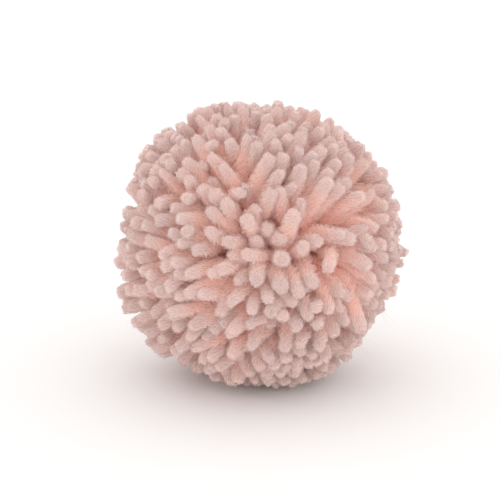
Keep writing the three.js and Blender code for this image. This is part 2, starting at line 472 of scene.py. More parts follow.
    def part(self, directions: np.ndarray, share: float) -> np.ndarray:
        """Push directions away from every parting.

        Args:
            directions: Unit vectors.
            share: How much of each parting's gap has to be clear. At 1 those further off give way too.

        Returns:
            The moved unit vectors.
        """
        moved = directions
        for parting in PARTINGS:
            line = parting.line(self.ball_radius)
            place = np.linspace(0, math.pi, len(line))
            nearest = np.argmax(moved @ line.T, axis=1)
            gap = parting.gap / self.ball_radius * np.sin(place)[nearest] ** 0.5 * share
            reach = parting.reach / self.ball_radius if share == 1 else gap
            away = moved - line[nearest]
            distance = np.linalg.norm(away, axis=1)
            wanted = np.maximum(gap + distance * (1 - gap / np.maximum(reach, 1e-6)), distance)
            wanted = np.where(distance < reach, wanted, distance)
            moved = unit(line[nearest] + unit(away) * wanted[:, None])
        return moved

    def outline_swell(self, directions: np.ndarray) -> np.ndarray:
        """Find how far the ball swells beyond its even radius.

        Args:
            directions: Unit vectors.

        Returns:
            The rise in millimetres, all of it at the outline seen from the front and little at the middle.
        """
        towards = Face.FRONT.direction(0, 0, 1)
        right = Face.FRONT.direction(1, 0, 0)
        up = Face.FRONT.direction(0, 1, 0)
        around = np.degrees(np.arctan2(directions @ up, directions @ right)) % 360
        rise = np.interp(around, np.arange(25) * 15, np.array((*OUTLINE, OUTLINE[0])) - np.mean(OUTLINE))
        return rise * np.exp(-((directions @ towards / self.outline_width) ** 2))

    def place_singles(self, roots: np.ndarray, tips: np.ndarray) -> dict[int, Single]:
        """Give each single strand to the strand that grows nearest to its shaft.

        Args:
            roots: The strands' root directions, changed in place.
            tips: Their cut ends' directions, changed in place.

        Returns:
            The chosen strands' numbers with their singles.
        """
        chosen: dict[int, Single] = {}
        for single in SINGLES:
            places = np.array([single.root, single.tip])
            depth = self.ball_radius * np.array([self.bend_share, 1])
            towards = np.sqrt(np.maximum(depth**2 - np.sum(places**2, axis=1), 25))
            root, tip = Face.FRONT.direction(places[:, 0], places[:, 1], towards)
            near = roots @ root
            near[list(chosen)] = -1
            number = int(np.argmax(near))
            roots[number] = root
            tips[number] = tip
            chosen[number] = single
        return chosen

    def shown_shafts(self) -> np.ndarray:
        """Find the places where the singles' shafts show.

        Returns:
            Directions along every single's shaft.
        """
        directions: list[np.ndarray] = []
        for single in SINGLES:
            places = np.linspace(single.root, single.tip, 6)[:5]
            towards = np.sqrt(self.ball_radius**2 - np.sum(places**2, axis=1))
            directions.append(Face.FRONT.direction(places[:, 0], places[:, 1], towards))
        return np.concatenate(directions)

    def keep_off(self, directions: np.ndarray, shafts: np.ndarray) -> np.ndarray:
        """Move cut ends off the shafts that show.

        Args:
            directions: The cut ends as unit vectors.
            shafts: Directions along the shafts.

        Returns:
            The moved unit vectors.
        """
        nearest = shafts[np.argmax(directions @ shafts.T, axis=1)]
        away = directions - nearest
        distance = np.linalg.norm(away, axis=1)
        wanted = np.maximum(distance, self.guard / self.ball_radius)
        kept = distance + self.guard_share * (wanted - distance)
        return unit(nearest + unit(away) * kept[:, None])

    def grow(self) -> StrandPaths:
        """Lay out all strands and settle them against each other.

        Returns:
            The settled paths.
        """
        roots = self.roots()
        stray = self.random.normal(0, self.wander / self.ball_radius, roots.shape)
        wanted = self.part(unit(self.lean(roots) + stray), 1)
        singles = self.place_singles(roots, wanted)
        held = np.array(sorted(singles))
        tips = wanted.copy()
        shafts = self.shown_shafts()
        for _ in range(self.tip_rounds):
            tips = unit(tips + self.tip_return * (wanted - tips))
            tips = self.make_room(self.part(tips, self.parted_share), self.tip_pitch / self.ball_radius)
            tips = self.keep_off(tips, shafts)
            tips[held] = wanted[held]
        reach = self.trimmed_lengths(tips, singles)
        nodes = self.settle(self.first_paths(roots, tips, reach), held)
        return self.resample(nodes, singles)

    def trimmed_lengths(self, tips: np.ndarray, singles: dict[int, Single]) -> np.ndarray:
        """Find how far out each strand ends.

        Args:
            tips: The cut ends' directions.
            singles: The strands whose length is given.

        Returns:
            The distance of each cut end from the ball's middle.
        """
        height = tips[:, 2]
        spread = np.clip(self.random.normal(0, self.trim_spread, len(tips)), *self.trim_limits)
        short = (self.random.random(len(tips)) < self.short_share) & (height > self.foot_height)
        spread = np.where(height < self.foot_height, self.foot_spread, spread)
        spread = np.where(short, -self.random.uniform(*self.short_by, len(tips)), spread)
        reach = self.ball_radius - self.trim_inset + self.outline_swell(tips) + spread
        for number, single in singles.items():
            reach[number] = single.out
        down = np.maximum(-height, 1e-3)
        slant = np.sqrt(1 - height**2)
        to_table = (MIDDLE_HEIGHT - self.foot_half * slant) / down
        return np.where(height < 0, np.minimum(reach, to_table), reach)

    def first_paths(self, roots: np.ndarray, tips: np.ndarray, reach: np.ndarray) -> np.ndarray:
        """Draw each strand as a smooth bend from its root to its cut end.

        Args:
            roots: Root directions.
            tips: Cut ends' directions.
            reach: How far out each strand ends.

        Returns:
            Nodes along each strand, in millimetres.
        """
        t = np.linspace(0, 1, self.node_count)[None, :, None]
        start = (roots * self.root_radius)[:, None]
        stray = self.random.normal(0, self.bend_wander, (2, *roots.shape))
        rising = (roots * self.rising_radius + stray[0])[:, None]
        way = unit((1 - self.bend_to_tip) * roots + self.bend_to_tip * tips)
        leaning = (way * (reach * self.bend_share)[:, None] + stray[1])[:, None]
        end = (tips * reach[:, None])[:, None]
        bend = 3 * (1 - t) ** 2 * t * rising + 3 * (1 - t) * t**2 * leaning
        return (1 - t) ** 3 * start + bend + t**3 * end

    def settle(self, nodes: np.ndarray, held: np.ndarray) -> np.ndarray:
        """Let the strands push each other aside. Deep in the ball they still overlap afterwards.

        Args:
            nodes: The strands' nodes.
            held: The numbers of the strands whose ends stay put.

        Returns:
            The settled nodes.
        """
        wanted = nodes.copy()
        strands, count, _ = nodes.shape
        owner = np.repeat(np.arange(strands), count)
        place = nodes.reshape(-1, 3).copy()
        rounds = self.settle_rounds
        pairs = (np.zeros(0, dtype=int), np.zeros(0, dtype=int))
        for step in range(rounds):
            out = np.linalg.norm(place, axis=1)
            girth = self.room_half * np.clip(out / self.packed_radius, self.least_room, 1)
            if step % self.pair_rounds == 0:
                pairs = self.near_pairs(place, owner, 2 * self.room_half + self.pair_slack)
            one, other = pairs
            apart = place[other] - place[one]
            distance = np.maximum(np.linalg.norm(apart, axis=1), 1e-6)
            overlap = np.maximum(girth[one] + girth[other] - distance, 0)
            push = apart * (overlap / distance * self.push)[:, None]
            np.add.at(place, one, -push)
            np.add.at(place, other, push)
            chain = place.reshape(strands, count, 3)
            middle = 0.5 * (chain[:, :-2] + chain[:, 2:])
            chain[:, 1:-1] += self.stiffness * (middle - chain[:, 1:-1])
            chain += self.path_return * (wanted - chain)
            chain[:, 0] = wanted[:, 0]
            chain[held, -1] = wanted[held, -1]
            place = chain.reshape(-1, 3)
        return place.reshape(strands, count, 3)

    def near_pairs(
        self, place: np.ndarray, owner: np.ndarray, distance: float
    ) -> tuple[np.ndarray, np.ndarray]:
        """Find nodes of different strands that are near to each other, but not those next to the roots.

        Args:
            place: All nodes.
            owner: The number of each node's strand.
            distance: How near counts.

        Returns:
            The numbers of the nodes in each pair.
        """
        outer = np.nonzero(np.linalg.norm(place, axis=1) > self.loose_radius)[0]
        points = place[outer].astype(np.float32)
        square = np.sum(points**2, axis=1)
        ones: list[np.ndarray] = []
        others: list[np.ndarray] = []
        for start in range(0, len(outer), self.rows_at_once):
            rows = slice(start, start + self.rows_at_once)
            gap = square[rows, None] + square[None] - 2 * points[rows] @ points.T
            one, other = np.nonzero(gap < distance**2)
            one = one + start
            keep = (one < other) & (owner[outer[one]] != owner[outer[other]])
            ones.append(outer[one[keep]])
            others.append(outer[other[keep]])
        return np.concatenate(ones), np.concatenate(others)

    def resample(self, nodes: np.ndarray, singles: dict[int, Single]) -> StrandPaths:
        """Give each strand its rings, close together at its cut end, and its girth at each.

        Args:
            nodes: The settled nodes.
            singles: The strands whose girth is given.

        Returns:
            The finished paths, from root to cut end.
        """
        fine = smooth_line(nodes, self.fine_count)[:, ::-1]
        steps = np.linalg.norm(np.diff(fine, axis=1), axis=2)
        way = np.concatenate([np.zeros((len(fine), 1)), np.cumsum(steps, axis=1)], axis=1)
        places = np.minimum(np.array(self.ring_places)[None], way[:, -1:] * 0.999)
        places[:, -1] = way[:, -1]
        points = np.empty((*places.shape, 3))
        for number, (path, along) in enumerate(zip(fine, way)):
            for axis in range(3):
                points[number, :, axis] = np.interp(places[number], along, path[:, axis])
        girth = np.clip(self.random.normal(1, self.girth_spread, len(nodes)), *self.girth_limits)
        girth = self.shaft_half * girth
        for number, single in singles.items():
            girth[number] = single.half
        out = np.linalg.norm(points, axis=2)
        below = np.clip((self.fluffed_below - out) / self.fluffed_depth, 0, 1)
        below = below * np.clip(places / self.fluffed_from_tip, 0, 1)
        fluffed = 1 + self.fluff * below**2 * (3 - 2 * below)
        room = np.minimum(fluffed, out / self.packed_radius)
        half = girth[:, None] * np.array(self.ring_girths)[None] * room
        flow = unit(np.gradient(points[:, ::-1], axis=1))
        tone = self.random.random(len(nodes))
        return StrandPaths(points[:, ::-1], half[:, ::-1], places[:, ::-1], flow, tone)


class NodeBuilder:
    """Adds nodes and links to one node tree. Values are numbers, vectors or other nodes' outputs."""

    def __init__(self, tree: bpy.types.NodeTree) -> None:
        """Work on a tree."""
        self.tree = tree

    def add(self, kind: str, inputs: Inputs | None = None, **settings: object) -> bpy.types.Node:
        """Add a node.

        Args:
            kind: The node's type.
            inputs: Its inputs by name or number.
            settings: Its own settings.

        Returns:
            The new node.
        """
        node = self.tree.nodes.new(kind)
        for name, value in settings.items():
            setattr(node, name, value)
        for name, value in (inputs or {}).items():
            self.set(node.inputs[name], value)
        return node

    def set(self, socket: Socket, value: object) -> None:
        """Give a socket its value, or link it to an output."""
        if isinstance(value, bpy.types.NodeSocket):
            self.tree.links.new(value, socket)
        else:
            socket.default_value = value

    def maths(self, operation: str, *values: object, clamp: bool = False) -> Socket:
        """Add a Math node, kept between 0 and 1 if clamped."""
        node = self.add("ShaderNodeMath", dict(enumerate(values)), operation=operation, use_clamp=clamp)
        return node.outputs[0]

    def plus(self, one: object, other: object) -> Socket:
        """Add two numbers."""
        return self.maths("ADD", one, other)

    def times(self, one: object, other: object) -> Socket:
        """Multiply two numbers."""
        return self.maths("MULTIPLY", one, other)

    def centred(self, value: object, factor: object) -> Socket:
        """Scale how far a value from 0 to 1 is from its middle."""
        return self.times(self.maths("SUBTRACT", value, 0.5), factor)

    def vector(self, operation: str, *values: object) -> Socket:
        """Add a Vector Math node.

        Args:
            operation: Its operation.
            values: Its vector inputs. For SCALE the second is the factor.

        Returns:
            Its output.
        """
        names: list[str | int] = [0, "Scale"] if operation == "SCALE" else list(range(len(values)))
        node = self.add("ShaderNodeVectorMath", operation=operation)
        for name, value in zip(names, values):
            self.set(node.inputs[name], value)
        return node.outputs["Value" if operation == "LENGTH" else "Vector"]

    def from_middle(self, place: Socket) -> Socket:
        """Measure how far a place is from the ball's middle, in metres."""
        return self.vector("LENGTH", self.vector("SUBTRACT", place, (0, 0, MIDDLE_HEIGHT * MM)))

    def remap(
        self, value: object, low: float, high: float, to_low: float = 0.0, to_high: float = 1.0
    ) -> Socket:
        """Map a range smoothly to another."""
        inputs = {"Value": value, "From Min": low, "From Max": high, "To Min": to_low, "To Max": to_high}
        return self.add("ShaderNodeMapRange", inputs, interpolation_type="SMOOTHSTEP").outputs["Result"]

    def noise(
        self, place: Socket, scale: float, detail: float, roughness: float = 0.5, output: str = "Fac"
    ) -> Socket:
        """Read a Noise Texture at a place."""
        inputs = {"Vector": place, "Scale": scale, "Detail": detail, "Roughness": roughness}
        return self.add("ShaderNodeTexNoise", inputs).outputs[output]

    def attribute(self, name: str, output: str = "Fac") -> Socket:
        """Read a piece's attribute in a material."""
        return self.add("ShaderNodeAttribute", attribute_name=name).outputs[output]

    def mix(self, factor: Socket, start: Socket, end: Socket) -> Socket:
        """Mix two colours."""
        return self.add("ShaderNodeMix", {0: factor, 6: start, 7: end}, data_type="RGBA").outputs[2]


class Generator(NodeBuilder):
    """A Geometry Nodes tree with named inputs, run on an object and kept as a plain mesh."""

    KINDS = {int: "NodeSocketInt", float: "NodeSocketFloat", bpy.types.Material: "NodeSocketMaterial"}

    def __init__(self, name: str, values: dict[str, object]) -> None:
        """Start the tree.

        Args:
            name: The tree's name.
            values: Its named inputs after the geometry, each with its value.
        """
        super().__init__(bpy.data.node_groups.new(name, "GeometryNodeTree"))
        sockets = self.tree.interface
        sockets.new_socket("Geometry", in_out="INPUT", socket_type="NodeSocketGeometry")
        for label, value in values.items():
            sockets.new_socket(label, in_out="INPUT", socket_type=self.KINDS[type(value)])
        sockets.new_socket("Geometry", in_out="OUTPUT", socket_type="NodeSocketGeometry")
        self.values = values
        self.given = self.add("NodeGroupInput").outputs

    def named(self, name: str, kind: str = "FLOAT") -> Socket:
        """Read a named attribute."""
        node = self.add("GeometryNodeInputNamedAttribute", {"Name": name}, data_type=kind)
        return node.outputs["Attribute"]

    def store(self, geometry: Socket, name: str, value: Socket, kind: str = "FLOAT") -> Socket:
        """Store a named attribute on the points of a geometry, and give the geometry back."""
        inputs = {"Geometry": geometry, "Name": name, "Value": value}
        node = self.add("GeometryNodeStoreNamedAttribute", inputs, data_type=kind, domain="POINT")
        return node.outputs["Geometry"]

    def random(self, seed: int, low: float, high: float) -> Socket:
        """Draw a number for each point."""
        inputs = {"Seed": seed, 2: low, 3: high}
        return self.add("FunctionNodeRandomValue", inputs, data_type="FLOAT").outputs[1]

    def sweep(self, path: Socket, section: Socket, scale: Socket) -> Socket:
        """Sweep a closed section along a path, with its ends filled."""
        inputs = {"Curve": path, "Profile Curve": section, "Fill Caps": True, "Scale": scale}
        return self.add("GeometryNodeCurveToMesh", inputs).outputs["Mesh"]

    def smooth(self, geometry: Socket) -> Socket:
        """Shade a geometry smooth."""
        return self.add("GeometryNodeSetShadeSmooth", {"Geometry": geometry}).outputs["Geometry"]

    def finish(self, geometry: Socket) -> None:
        """Realize the geometry, give it the material and put it out."""
        real = self.add("GeometryNodeRealizeInstances", {"Geometry": geometry}).outputs["Geometry"]
        inputs = {"Geometry": real, "Material": self.given["Material"]}
        dressed = self.add("GeometryNodeSetMaterial", inputs).outputs["Geometry"]
        self.add("NodeGroupOutput", {"Geometry": dressed})

    def run(self, host: bpy.types.Object, name: str) -> bpy.types.Object:
        """Run the tree on an object and show the result, pressed level where it would pass the table.

        Args:
            host: The object that the tree starts from. It is removed.
            name: The new piece's name.

        Returns:
            The new piece.
        """
        modifier = host.modifiers.new(self.tree.name, "NODES")
        modifier.node_group = self.tree
        for item in self.tree.interface.items_tree:
            if item.item_type == "SOCKET" and item.in_out == "INPUT" and item.name in self.values:
                modifier[item.identifier] = self.values[item.name]
        graph = bpy.context.evaluated_depsgraph_get()
        mesh = bpy.data.meshes.new_from_object(host.evaluated_get(graph), depsgraph=graph)
        host.modifiers.clear()
        old = host.data
        bpy.data.objects.remove(host)
        bpy.data.meshes.remove(old)
        rest_on_table(mesh)
        return show(name, mesh)


def show(name: str, mesh: bpy.types.Mesh) -> bpy.types.Object:
    """Put a mesh in the scene as an object at the origin."""
    mesh.name = name
    piece = bpy.data.objects.new(name, mesh)
    bpy.context.scene.collection.objects.link(piece)
    return piece


def rest_on_table(mesh: bpy.types.Mesh) -> None:
    """Press what would pass the table level on it."""
    places = np.empty(len(mesh.vertices) * 3, dtype=np.float32)
    mesh.vertices.foreach_get("co", places)
    heights = places[2::3]
    np.maximum(heights, 0, out=heights)
    mesh.vertices.foreach_set("co", places)
    mesh.update()


class ToneGroup:
    """The yarn's colour, fine relief and cover, as one shader node group that all its finishes share.

    Lengths are in millimetres. The pairs say where each mask starts and where it is full. The colours carry
    painted light: pale where the cut ends catch the light, warmer along the shafts, and redder and brighter
    deep in the ball, standing in for light bounced between the strands.
    """

    NAME = "yarn_tone"
    INPUTS = {
        # The three colours carry painted light: a pale lit colour for the cut ends, a warmer one for the
        # shafts, and a redder, brighter one deep in the ball that stands in for light bounced between the
        # strands.
        "Painted Lit Tip Colour": "NodeSocketColor",
        "Painted Bounce Shaft Colour": "NodeSocketColor",
        "Painted Bounce Hollow Colour": "NodeSocketColor",
        "Streaks": "NodeSocketFloat",
        "Hair Contrast": "NodeSocketFloat",
        "Thinness": "NodeSocketFloat",
    }
    OUTPUTS = {"Cover": "NodeSocketFloat", "Color": "NodeSocketColor", "Height": "NodeSocketFloat"}
    # Painted light: pale within the first pair's millimetres of a cut end, where the ends catch the light, and
    # redder and brighter below the second pair's distances from the ball's middle, standing in for light
    # bounced between the strands.
    PAINTED_LIGHT_NEAR_TIP = (8.0, 0.5)
    PAINTED_BOUNCE_NEAR_MIDDLE = (38.0, 30.0)
    PATCH_SHIFT = 0.25
    TONE_SPREAD = 0.045
    MOTTLE = 0.09
    FIBRE_BEND = 0.9
    COVER_EDGE = 0.11
    COVER_RANGE = (0.05, 0.85)

    def __init__(self) -> None:
        """Build the group."""
        self.tree = bpy.data.node_groups.new(self.NAME, "ShaderNodeTree")
        for side, sockets in (("INPUT", self.INPUTS), ("OUTPUT", self.OUTPUTS)):
            for label, kind in sockets.items():
                self.tree.interface.new_socket(label, in_out=side, socket_type=kind)
        self.build()

    def build(self) -> None:
        """Add the group's nodes."""
        nodes = NodeBuilder(self.tree)
        given = nodes.add("NodeGroupInput").outputs
        fibre = nodes.attribute("fibre", "Vector")
        place = nodes.add("ShaderNodeTexCoord").outputs["Object"]
        out = nodes.times(nodes.from_middle(place), 1 / MM)

        fine = nodes.noise(fibre, 7.0, 4.0, 0.62)
        coarse = nodes.noise(fibre, 2.2, 2.0)
        mottle = nodes.noise(place, 900.0, 3.0)
        patch = nodes.noise(place, 45.0, 1.0)

        # Painted light: the colour turns pale where the cut ends catch the light, warmer along the shafts, and
        # redder and brighter deep in the ball, where it stands in for light bounced between the strands.
        painted_light_towards_tip = nodes.remap(nodes.attribute("from_tip"), *self.PAINTED_LIGHT_NEAR_TIP)
        patchy = nodes.remap(patch, 0.3, 0.7, -self.PATCH_SHIFT, self.PATCH_SHIFT)
        painted_light_towards_tip = nodes.maths("ADD", painted_light_towards_tip, patchy, clamp=True)
        pale = nodes.mix(painted_light_towards_tip, given["Painted Bounce Shaft Colour"], given["Painted Lit Tip Colour"])
        deep = nodes.mix(nodes.remap(out, *self.PAINTED_BOUNCE_NEAR_MIDDLE), pale, given["Painted Bounce Hollow Colour"])

        streak = nodes.remap(nodes.plus(nodes.times(fine, 0.6), nodes.times(coarse, 0.4)), 0.34, 0.66)
        tone = nodes.remap(nodes.attribute("tone"), 0.0, 1.0, -self.TONE_SPREAD, self.TONE_SPREAD)
        shade = nodes.plus(nodes.centred(streak, given["Streaks"]), tone)
        shade = nodes.plus(shade, nodes.centred(mottle, self.MOTTLE))
        shade = nodes.plus(shade, nodes.times(nodes.attribute("shade"), given["Hair Contrast"]))
        colour = nodes.vector("SCALE", deep, nodes.plus(shade, 1.0))
        height = nodes.plus(nodes.times(streak, 0.75), nodes.times(mottle, 0.25))

        bend = nodes.vector("SUBTRACT", nodes.noise(fibre, 1.6, 1.0, output="Color"), (0.5, 0.5, 0.5))
        loose = nodes.vector("ADD", fibre, nodes.vector("SCALE", bend, self.FIBRE_BEND))
        hairs = nodes.maths("SUBTRACT", nodes.noise(loose, 5.0, 3.0), given["Thinness"])
        cover = nodes.remap(hairs, -self.COVER_EDGE, self.COVER_EDGE, *self.COVER_RANGE)
        nodes.add("NodeGroupOutput", {"Color": colour, "Height": height, "Cover": cover})


@dataclass(frozen=True)
class YarnFinish:
    """Soft matt wool whose colour carries painted light: pale where the cut ends catch the light, warmer along
    the shafts and redder and brighter deep in the partings, standing in for light bounced between the strands.
    """

    name: str
    group: ToneGroup
    # Painted light: tip is the pale colour of the lit cut ends, shaft the warmer colour of the shafts and deep
    # the redder, brighter colour deep in the ball, which stands in for light bounced between the strands.
    tip: tuple[float, float, float, float] = (0.735, 0.548, 0.512, 1)
    shaft: tuple[float, float, float, float] = (0.85, 0.54, 0.465, 1)
    deep: tuple[float, float, float, float] = (0.99, 0.555, 0.46, 1)
    streaks: float = 0.05
    hair_contrast: float = 0.0
    relief: float = 0.18
    relief_depth: float = 0.5 * MM
    sheen: float = 0.7
    sheen_tint: tuple[float, float, float, float] = (0.98, 0.86, 0.83, 1)
    thinness: float = 0.0

    def material(self) -> bpy.types.Material:
        """Build the material.

        Returns:
            The finished material.
        """
        material = bpy.data.materials.new(self.name)
        material.use_nodes = True
        nodes = NodeBuilder(material.node_tree)
        shader = material.node_tree.nodes["Principled BSDF"]
        tones = {
            # The colours carry painted light, pale at the lit cut ends and warmer and brighter along the
            # shafts and deep in the ball.
            "Painted Lit Tip Colour": self.tip,
            "Painted Bounce Shaft Colour": self.shaft,
            "Painted Bounce Hollow Colour": self.deep,
            "Streaks": self.streaks,
            "Hair Contrast": self.hair_contrast,
            "Thinness": self.thinness,
        }
        tone = nodes.add("ShaderNodeGroup", node_tree=self.group.tree)
        for name, value in tones.items():
            tone.inputs[name].default_value = value
        surface = {
            "Base Color": tone.outputs["Color"],
            "Roughness": 0.95,
            "Diffuse Roughness": 1.0,
            "Specular IOR Level": 0.12,
            "Sheen Weight": self.sheen,
            "Sheen Roughness": 0.6,
            "Sheen Tint": self.sheen_tint,
        }
        for name, value in surface.items():
            nodes.set(shader.inputs[name], value)
        if self.thinness > 0:
            nodes.set(shader.inputs["Alpha"], tone.outputs["Cover"])
        if self.relief > 0:
            height = tone.outputs["Height"]
            inputs = {"Height": height, "Strength": self.relief, "Distance": self.relief_depth}
            nodes.set(shader.inputs["Normal"], nodes.add("ShaderNodeBump", inputs).outputs["Normal"])
        return material


@dataclass
class Strands:
    """The cut strands themselves, or a halo round them.

    puff is how far they stand off the settled strands and puff_between how much more in the gaps. That starts
    below open_from, measured from the ball's middle, and is full open_depth deeper. It is less within
    soft_end of a cut end, down to end_share. All lengths are in millimetres.
    """

    paths: StrandPaths
    name: str = "strands"
    puff: float = 0.0
    puff_between: float = 0.0
    open_from: float = 43.5
    open_depth: float = 5.0
    soft_end: float = 7.0
    end_share: float = 0.3
    rings: int = 8
    sides: int = 8
    twist: float = 0.24
    lumps: float = 0.42
    ribs: float = 0.16
    raggedness: float = 0.6
    tone_shift: float = 173.0
    fibre_pitch: float = 0.07
    halves: int = 2
    batches: int = 6

    def centre_lines(self, part: int) -> bpy.types.Object:
        """Build the centre lines of some of the strands as a mesh of edges that carries their sizes.

        Args:
            part: Which of the parts that the strands are split in.

        Returns:
            The object, which the sweep starts from.
        """
        chosen = (slice(part, None, self.halves), slice(-self.rings, None))
        from_tip = self.paths.from_tip[chosen]
        flow = self.paths.flow[chosen]
        at_end = np.clip(1 - from_tip, 0, 1)[..., None]
        out = np.linalg.norm(self.paths.points[chosen], axis=2)
        below = np.clip((self.open_from - out) / self.open_depth, 0, 1)
        below = below * np.clip(from_tip / self.soft_end, self.end_share, 1)
        puff = self.puff + self.puff_between * below
        lines = self.paths.points[chosen] + self.puff * at_end * flow
        strands, rings, _ = lines.shape
        points = lines.reshape(-1, 3) * MM + (0, 0, MIDDLE_HEIGHT * MM)
        start = np.arange(strands * rings).reshape(strands, rings)[:, :-1].ravel()
        mesh = bpy.data.meshes.new("centre_lines")
        edges = np.stack([start, start + 1], axis=1)
        mesh.from_pydata(points.tolist(), edges.tolist(), [])
        number = np.repeat(np.arange(strands), rings)
        scalars = {
            "half": (self.paths.half[chosen] + puff).ravel() * MM,
            "from_tip": from_tip.ravel(),
            "tone": self.paths.tone[chosen[0]][number],
            "batch": (number % self.batches).astype(float),
        }
        for name, values in scalars.items():
            attribute = mesh.attributes.new(name, "FLOAT", "POINT")
            attribute.data.foreach_set("value", values.astype(np.float32))
        ways = mesh.attributes.new("flow", "FLOAT_VECTOR", "POINT")
        ways.data.foreach_set("vector", flow.ravel().astype(np.float32))
        return show("centre_lines", mesh)

    def generator(self, material: bpy.types.Material) -> Generator:
        """Make the tree that sweeps a lumpy, twisted round section along each centre line.

        Args:
            material: The strands' material.

        Returns:
            The tree.
        """
        values = {
            "Sides": self.sides,
            "Twist": self.twist,
            "Lumps": self.lumps,
            "Ribs": self.ribs,
            "Raggedness": self.raggedness,
            "Material": material,
        }
        nodes = Generator("sweep_strands", values)
        given = nodes.given
        from_tip = nodes.named("from_tip")
        lines = nodes.add("GeometryNodeMeshToCurve", {"Mesh": given["Geometry"]}).outputs["Curve"]
        circle = nodes.add("GeometryNodeCurvePrimitiveCircle", {"Resolution": given["Sides"], "Radius": 1.0})
        spot = nodes.add("GeometryNodeInputPosition").outputs[0]
        section = nodes.store(circle.outputs["Curve"], "ring", spot, "FLOAT_VECTOR")
        swept = nodes.sweep(lines, section, nodes.named("half"))
        twist = nodes.times(from_tip, given["Twist"])
        turning = {"Vector": nodes.named("ring", "FLOAT_VECTOR"), "Angle": twist}
        turned = nodes.add("ShaderNodeVectorRotate", turning, rotation_type="Z_AXIS").outputs["Vector"]
        shift = nodes.times(nodes.named("tone"), self.tone_shift)
        along = nodes.times(from_tip, self.fibre_pitch)
        offset = nodes.add("ShaderNodeCombineXYZ", {"X": shift, "Y": shift, "Z": along}).outputs["Vector"]
        marked = nodes.store(swept, "fibre", nodes.vector("ADD", turned, offset), "FLOAT_VECTOR")
        fibre = nodes.named("fibre", "FLOAT_VECTOR")
        ribs = nodes.noise(fibre, 3.4, 1.0)
        lump = nodes.centred(nodes.noise(fibre, 1.25, 2.0, 0.55), given["Lumps"])
        rib = nodes.centred(ribs, given["Ribs"])
        swell = nodes.times(nodes.remap(from_tip, 7.0, 0.5, 1.0, 1.7), 2 * MM)
        rise = nodes.times(nodes.plus(lump, rib), swell)
        at_end = nodes.remap(from_tip, 1.5, 0.3)
        rag = nodes.times(nodes.times(nodes.centred(ribs, given["Raggedness"]), at_end), 2 * MM)
        normal = nodes.add("GeometryNodeInputNormal").outputs[0]
        outward = nodes.vector("SCALE", normal, rise)
        endward = nodes.vector("SCALE", nodes.named("flow", "FLOAT_VECTOR"), rag)
        moving = {"Geometry": marked, "Offset": nodes.vector("ADD", outward, endward)}
        moved = nodes.add("GeometryNodeSetPosition", moving).outputs["Geometry"]
        nodes.finish(nodes.smooth(moved))
        return nodes

    def build(self, material: bpy.types.Material) -> list[bpy.types.Object]:
        """Sweep the strands, in a few pieces."""
        sweep = self.generator(material)
        return [sweep.run(self.centre_lines(part), f"{self.name}_{part + 1}") for part in range(self.halves)]


@dataclass(frozen=True)
class Halo:
    """A thin, see-through sleeve of loose fibre round each strand.

    puff is how far it stands off the strand and between how much more in the gaps, in millimetres. The higher
    its thinness, the less of it is there.
    """

    puff: float
    between: float
    thinness: float


@dataclass(frozen=True)
class HairShape:
    """One hair's bend: its length, how far its middle and its end lift off the strand, in millimetres."""

    length: float
    middle_lift: float
    end_lift: float


@dataclass(frozen=True)
class HairKind:
    """A kind of hair on the strands: how thick, how many, where on the strand, and how it stands.

    root_half is in millimetres and density in hairs on a square centimetre. They grow between near and far
    millimetres from the cut end. lift and stray say how much they leave the strand's own direction.
    """

    name: str
    shapes: tuple[HairShape, ...]
    root_half: float
    density: float
    near: float
    far: float
    lift: float
    stray: float
    batches: int = 1
    spans: int = 1
    least_out: float = 36.0


HALOS = (Halo(0.16, 0.3, 0.48), Halo(0.38, 0.7, 0.525))

HAIRS = (
    HairKind(
        "down",
        (HairShape(1.1, 0.0, 0.15), HairShape(0.9, 0.0, 0.2), HairShape(1.4, 0.0, 0.1)),
        root_half=0.04, density=24.0, near=0.0, far=11.0, lift=0.25, stray=0.35, batches=2,
    ),
    HairKind(
        "brush",
        (HairShape(0.6, 0.0, 0.1), HairShape(0.8, 0.0, 0.1), HairShape(0.45, 0.0, 0.1)),
        root_half=0.04, density=40.0, near=-1.0, far=1.8, lift=0.4, stray=0.35,
    ),
    HairKind(
        "stray",
        (HairShape(4.6, 1.3, 1.0), HairShape(5.4, 1.0, 2.2), HairShape(3.8, 1.2, 0.6)),
        root_half=0.028, density=5.0, near=0.0, far=16.0, lift=0.5, stray=0.8, spans=4, least_out=27.0,
    ),
)  # fmt: skip


